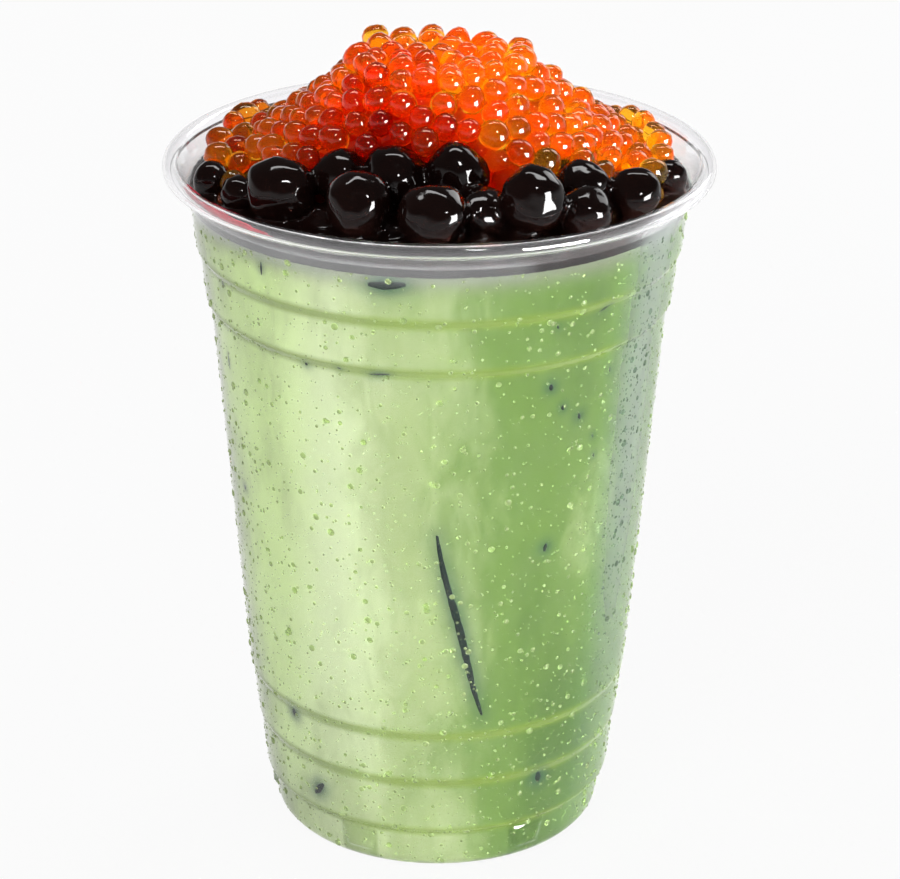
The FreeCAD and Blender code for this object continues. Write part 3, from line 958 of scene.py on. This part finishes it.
# %% Drop the pearls
# Most are dropped into the heap. Some lie along the wall at both sides of it, and a few stand proud on
# its crown.
pearl_small = 4.3 * MM
pearl_large = 5.2 * MM
shell_depth = 7.5 * MM
pearl_count = 520
tries = 9000
skirt_count = 44
skirt_turns = (68, 128)
crown_spots = [(-11.5, 12.0, 145.9), (-6.0, 8.0, 144.9), (-1.5, 9.0, 145.5), (3.0, 10.0, 145.7),
               (8.0, 9.0, 145.5), (14.2, 8.0, 144.8), (19.5, 6.0, 140.6), (25.0, 5.0, 136.6)]

rng = np.random.default_rng(11)
spots = rng.uniform((-42, -26, 1), (42, 42, 26), (tries, 3)) * MM
round_depth, _ = depth_under(heap_side, np.hypot(spots[:, 0], spots[:, 1]), spots[:, 2])
face_depth, _ = depth_under(heap_face, -spots[:, 1], spots[:, 2])
depth = np.minimum(round_depth, face_depth)
spots = spots[(depth > 0) & (depth < shell_depth)][:pearl_count]
spots[:, 2] += surface
turns = np.radians(rng.uniform(*skirt_turns, skirt_count)) * np.where(np.arange(skirt_count) % 2, 1, -1)
reaches = rng.uniform(36.0, 40.0, skirt_count) * MM
levels = surface + rng.uniform(3, 7, skirt_count) * MM
skirt = np.column_stack([reaches * np.sin(turns), -reaches * np.cos(turns), levels])
crown = np.array(crown_spots) * MM
in_heap = np.arange(len(spots) + len(skirt) + len(crown)) < len(spots)
on_skirt = ~in_heap
on_skirt[-len(crown):] = False
spots = np.vstack([spots, skirt, crown])
radii = rng.uniform(pearl_small, pearl_large, len(spots)) / 2
print(len(spots), "popping pearls dropped")

# %% Settle them
# Each round pushes the pearls apart, off the black ones, and back into the heap's outer layers. Those
# along the wall sink, and those on the crown are drawn back to their places.
rounds = 220
push = 0.55
black_room = 1.04
skirt_sink = 0.05 * MM
skirt_high = 7.5 * MM
skirt_reach = 39.2 * MM
wall_room = 0.3 * MM
proud = 1.0 * MM

black_boxes = [(Vector(low), Vector(high)) for low, high in (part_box(name) for name in tapioca_nodes)]
black_places = np.array([(low + high) / 2 for low, high in black_boxes])
black_radii = np.array([max(high - low) / 2 for low, high in black_boxes]) * black_room
black_radii[(np.abs(black_places[:, 0]) > side_reach) & (black_places[:, 2] > surface)] *= side_share
for _ in range(rounds):
    apart = spots[:, None] - spots[None]
    distance = np.linalg.norm(apart, axis=2) + 1e-12
    overlap = np.clip(radii[:, None] + radii[None] - distance, 0, None)
    np.fill_diagonal(overlap, 0)
    spots += (apart / distance[..., None] * (overlap / 2)[..., None]).sum(1) * push
    apart = spots[:, None] - black_places[None]
    distance = np.linalg.norm(apart, axis=2)
    pressed = np.clip(radii[:, None] + black_radii[None] - distance, 0, None)
    spots += (apart / distance[..., None] * pressed[..., None]).sum(1)
    reach = np.hypot(spots[:, 0], spots[:, 1])
    round_depth, round_out = depth_under(heap_side, reach, spots[:, 2] - surface)
    face_depth, face_out = depth_under(heap_face, -spots[:, 1], spots[:, 2] - surface)
    by_face = face_depth < round_depth
    depth = np.where(by_face, face_depth, round_depth)
    from_axis = spots[:, :2] / np.maximum(reach, 1e-9)[:, None]
    round_way = np.column_stack([from_axis * round_out[:, :1], round_out[:, 1]])
    face_way = np.column_stack([np.zeros(len(spots)), -face_out[:, 0], face_out[:, 1]])
    outward = np.where(by_face[:, None], face_way, round_way)
    too_far = np.where(in_heap, np.minimum(depth, 0) + np.maximum(depth - shell_depth, 0), 0)
    spots += outward * too_far[:, None]
    spots[on_skirt, 2] = np.clip(spots[on_skirt, 2] - skirt_sink, surface, surface + skirt_high)
    reach = np.hypot(spots[:, 0], spots[:, 1])
    spots[on_skirt, :2] *= np.minimum(1, skirt_reach / reach[on_skirt])[:, None]
    spots[-len(crown):] += (crown - spots[-len(crown):]) * 0.5
    room = wall_radius(spots[:, 2]) - radii - wall_room
    reach = np.hypot(spots[:, 0], spots[:, 1])
    spots[:, :2] *= np.minimum(1, room / np.maximum(reach, 1e-9))[:, None]
    spots[:, 2] = np.maximum(spots[:, 2], surface + radii)
kept = ~in_heap | (depth > -proud)
spots, radii = spots[kept], radii[kept]
print(len(spots), "popping pearls, mean overlap", round(float(overlap.max(1).mean() / MM), 2), "mm")

# %% Places for Geometry Nodes
pearl_points = bpy.data.meshes.new("pearl_points")
pearl_points.from_pydata([tuple(spot) for spot in spots], [], [])
store(pearl_points, "width", radii * 2)
store(pearl_points, "tone", rng.uniform(-0.5, 0.5, len(spots)))
popping = shown("orange_pearls", pearl_points)


def geometry_tree(name, inputs):
    """A Geometry Nodes tree with named inputs: the tree, its input node, its output node and identifiers."""
    made = bpy.data.node_groups.new(name, "GeometryNodeTree")
    made.interface.new_socket(name="Geometry", in_out="OUTPUT", socket_type="NodeSocketGeometry")
    identifiers = {}
    for title, kind in {"Geometry": "Geometry", **inputs}.items():
        socket = made.interface.new_socket(name=title, in_out="INPUT", socket_type="NodeSocket" + kind)
        identifiers[title] = socket.identifier
    return made, node(made, "NodeGroupInput"), node(made, "NodeGroupOutput"), identifiers


def apply_tree(piece, tree, identifiers, values):
    """Run a tree on a piece with its input values, and keep the result as a plain mesh."""
    modifier = piece.modifiers.new(tree.name, "NODES")
    modifier.node_group = tree
    for title, value in values.items():
        modifier[identifiers[title]] = value
    evaluated_mesh(piece)


def read_number(tree, name):
    """A number that is stored on the points or vertices, read in a Geometry Nodes tree."""
    reader = node(tree, "GeometryNodeInputNamedAttribute", {"Name": name}, data_type="FLOAT")
    return reader.outputs["Attribute"]


def scaled(tree, vector, factor):
    """A vector times a number."""
    return node(tree, "ShaderNodeVectorMath", {0: vector, "Scale": factor}, operation="SCALE").outputs[0]


def real_instances(tree, points, instance, rotation, scale):
    """Instances on points, turned into real faces."""
    placed = node(tree, "GeometryNodeInstanceOnPoints", {
        "Points": points, "Instance": instance, "Rotation": rotation, "Scale": scale})
    return node(tree, "GeometryNodeRealizeInstances", {0: placed.outputs["Instances"]}).outputs["Geometry"]


def put_out(tree, start, end, geometry):
    """End a tree: smooth shading, the material that it is handed, and its output."""
    smooth = node(tree, "GeometryNodeSetShadeSmooth", {"Geometry": geometry})
    coated = node(tree, "GeometryNodeSetMaterial", {
        "Geometry": smooth.outputs["Geometry"], "Material": start.outputs["Material"]})
    wire(tree, end, {"Geometry": coated.outputs["Geometry"]})


print(len(pearl_points.vertices), "places")

# %% Juice of the pearls
# Painted light and shade: deep red round a point low in the heap at the front left, as shade in its
# hollow, and golden towards the crown, the right and both sides, where light falls on and through the
# pearls. Noise and each pearl's own tone vary it too.
deep_red, orange, gold = (0.60, 0.035, 0.003), (0.84, 0.17, 0.008), (0.97, 0.56, 0.03)
shade_centre = (-11, -18, 134)

juice, tree, shader = surface_material("orange juice pearl")
place = place_of(tree)
axes = axes_of(tree, place)
from_shade_centre = node(tree, "ShaderNodeVectorMath", {0: place, 1: shade_centre}, operation="DISTANCE").outputs["Value"]
# Painted light: more golden towards the crown, the right and both sides, with noise and each pearl's tone.
golden_and_lit = number(
    tree, "ADD",
    number(tree, "MULTIPLY", between(tree, axes["Z"], 126.0, 148.0), 0.7),
    number(tree, "MULTIPLY", noise_of(tree, place, 7.0, 2), 0.7),
    number(tree, "MULTIPLY", axes["X"], 0.012),
    between(tree, number(tree, "ABSOLUTE", axes["X"]), 8.0, 32.0, 0.0, 0.8),
    number(tree, "MULTIPLY", stored(tree, "tone"), 0.5))
# Painted shade: redder round the hollow at the front left.
golden_and_lit = number(tree, "SUBTRACT", golden_and_lit, between(tree, from_shade_centre, 5.0, 22.0, 0.6, 0.0))
colour = mixed(tree, between(tree, golden_and_lit, -0.1, 0.5), deep_red, orange)
colour = mixed(tree, between(tree, golden_and_lit, 0.5, 1.1), colour, gold)
wire(tree, shader, {"Base Color": colour, "Roughness": 0.03, "IOR": 1.37, "Transmission Weight": 0.93})
clear_to_lamps(tree, shader, (0.97, 0.55, 0.15))

# %% Pearls by Geometry Nodes
full_turn = 6.283
unevenness = 1.0 * MM

tree, start, end, names = geometry_tree("pearls on places", {"Unevenness": "Float", "Material": "Material"})
cube = node(tree, "GeometryNodeMeshCube", {"Vertices X": 5, "Vertices Y": 5, "Vertices Z": 5})
position = node(tree, "GeometryNodeInputPosition").outputs[0]
rounded = node(tree, "ShaderNodeVectorMath", {0: position}, operation="NORMALIZE").outputs[0]
pearl_shape = node(tree, "GeometryNodeSetPosition", {
    "Geometry": cube.outputs["Mesh"], "Position": scaled(tree, rounded, 0.5)})
oval = node(tree, "FunctionNodeRandomValue", {"Min": (0.94, 0.94, 0.92), "Max": (1.02, 1.02, 1.20)},
            data_type="FLOAT_VECTOR")
turn = node(tree, "FunctionNodeRandomValue", {"Max": (full_turn, full_turn, full_turn)},
            data_type="FLOAT_VECTOR")
pearls = real_instances(
    tree, start.outputs["Geometry"], pearl_shape.outputs["Geometry"], turn.outputs["Value"],
    scaled(tree, oval.outputs["Value"], read_number(tree, "width")))
wave = node(tree, "ShaderNodeTexNoise", {
    "Vector": node(tree, "GeometryNodeInputPosition").outputs[0], "Scale": 260})
centred = node(tree, "ShaderNodeVectorMath", {0: wave.outputs["Color"], 1: (0.5, 0.5, 0.5)},
               operation="SUBTRACT").outputs[0]
uneven = node(tree, "GeometryNodeSetPosition", {
    "Geometry": pearls, "Offset": scaled(tree, centred, start.outputs["Unevenness"])})
put_out(tree, start, end, uneven.outputs["Geometry"])
apply_tree(popping, tree, names, {"Unevenness": unevenness, "Material": juice})
finish_piece(popping, "popping_pearl", "popping_pearls")

# %% [markdown]
# ## Core of the heap
# Behind the outer pearls there are only more pearls, which look like one dark red mass in their shade. A
# smaller core stands for them and closes the view into the heap. Its dark red is painted shade.

# %% Core
core_inset = 5.0 * MM
core_least = 1.0 * MM
core_top = heap_height - core_inset

core_path = [Vector((0, surface + core_top))]
for point in heap_side[-2:1:-1]:
    core_path.append(Vector((max(core_least, point.x - core_inset), surface + min(point.y, core_top))))
core_path += [Vector((core_path[-1].x, surface)), Vector((0, surface))]
core = turned("heap_core", core_path, 96)
for vertex in core.data.vertices:
    vertex.co.y = max(vertex.co.y, -heap_front + core_inset)
core_material, tree, shader = surface_material("deep red pearl mass")
# Painted shade: the core is as dark as the pearls deep in the heap look.
mottle = between(tree, noise_of(tree, place_of(tree), 4.0, 2), 0.35, 0.65)
wire(tree, shader, {"Base Color": mixed(tree, mottle, (0.12, 0.004, 0.002), (0.32, 0.02, 0.004)),
                    "Roughness": 0.3})
finish_piece(core, "popping_pearl", material=core_material)

# %% [markdown]
# ## Dew
# A cold cup in warm air beads with water: many tiny drops, a few that have grown, and more of them low
# down, where the cup stays coldest. The upright band at the right gets more drops, painted dark, as the
# specks in the painted reflection there. Elsewhere the drops are painted pale and partly dull, as painted
# light, so that they read as bright dots. Geometry Nodes scatter squashed drops over a copy of the cup's
# outer skin, stand them on its normal and turn them into real faces.

# %% Skin that the dew sits on
dew_from, dew_to = 1.0 * MM, 125.0 * MM
# These band numbers put denser dew where the painted reflection is, at the right.
reflection_band_middle, reflection_band_spread, reflection_band_wetness = 56, 8, 1.5

outer = [point for point in shifted(cup_path, wall) if point.x > foot_radius * 0.9]
outer = [point for point in outer if dew_from < point.y < dew_to]
dew_path = [point for point, after in zip(outer, outer[1:]) if after.y > point.y]
dew = turned("fine_dew", dew_path[::-1], 180, bulge=lug_bulge)
dew.data.flip_normals()
dew_points = coordinates(dew.data)
low_down = 1.0 - 0.55 * np.clip(dew_points[:, 2] / cup_height, 0, 1)
off_band = (np.degrees(np.arctan2(dew_points[:, 0], -dew_points[:, 1])) - reflection_band_middle) / reflection_band_spread
reflection_band_share = np.exp(-(off_band ** 2)) * np.clip((dew_points[:, 2] - 20 * MM) / (50 * MM), 0, 1)
store(dew.data, "wetness", low_down + reflection_band_wetness * reflection_band_share)
print("wetness up to", round(float((low_down + reflection_band_wetness * reflection_band_share).max()), 2))

# %% Water
# Painted light: pale, partly dull drops read as bright dots, where clear water would only bend and mirror
# light. In the painted reflection band they are painted dark, as its specks.
painted_pale_drop_colour, reflection_band_drop_colour = (0.56, 0.67, 0.34), (0.22, 0.30, 0.22)

water, tree, shader = surface_material("dew")
place = place_of(tree)
axes = axes_of(tree, place)
in_reflection_band = number(tree, "MULTIPLY", stripe(tree, azimuth_of(tree, axes), 46, 54, 61, 76),
                 between(tree, axes["Z"], 10.0, 60.0))
clear_share = between(tree, noise_of(tree, place, 3.0, 1), 0.3, 0.7, 0.50, 0.80)
wire(tree, shader, {
    "Base Color": mixed(tree, in_reflection_band, painted_pale_drop_colour, reflection_band_drop_colour), "Roughness": 0.22, "IOR": 1.33,
    "Specular IOR Level": 0.25, "Transmission Weight": clear_share})
clear_to_lamps(tree, shader, (0.97, 0.98, 0.97))

# %% Fine dew and grown drops
drop_flatness = 0.4
few_large = 3.0

tree, start, end, names = geometry_tree("dew on skin", {
    "Drops per square metre": "Float", "Smallest": "Float", "Largest": "Float", "Sides": "Int", "Seed": "Int",
    "Material": "Material"})
given = start.outputs
scatter = node(tree, "GeometryNodeDistributePointsOnFaces", {
    "Mesh": given["Geometry"], "Seed": given["Seed"],
    "Density": number(tree, "MULTIPLY", read_number(tree, "wetness"), given["Drops per square metre"])})
chance = node(tree, "FunctionNodeRandomValue", {"Seed": given["Seed"]}, data_type="FLOAT").outputs[1]
grown_by = number(tree, "MULTIPLY", number(tree, "POWER", chance, few_large),
                  number(tree, "SUBTRACT", given["Largest"], given["Smallest"]))
ball = node(tree, "GeometryNodeMeshUVSphere", {
    "Segments": given["Sides"], "Rings": number(tree, "SUBTRACT", given["Sides"], 2.0), "Radius": 0.5})
flat = node(tree, "GeometryNodeTransform", {
    "Geometry": ball.outputs["Mesh"], "Scale": (1, 1, drop_flatness)})
drops = real_instances(tree, scatter.outputs["Points"], flat.outputs["Geometry"], scatter.outputs["Rotation"],
                       number(tree, "ADD", given["Smallest"], grown_by))
put_out(tree, start, end, drops)

grown = shown("dew_drops", dew.data.copy())
dew_kinds = [(dew, 400000.0, 0.26, 0.70, 5, 4), (grown, 60000.0, 0.65, 1.5, 8, 9)]
for piece, density, smallest, largest, sides, seed in dew_kinds:
    apply_tree(piece, tree, names, {
        "Drops per square metre": density, "Smallest": smallest * MM, "Largest": largest * MM,
        "Sides": sides, "Seed": seed, "Material": water})
    finish_piece(piece, "clear_plastic")
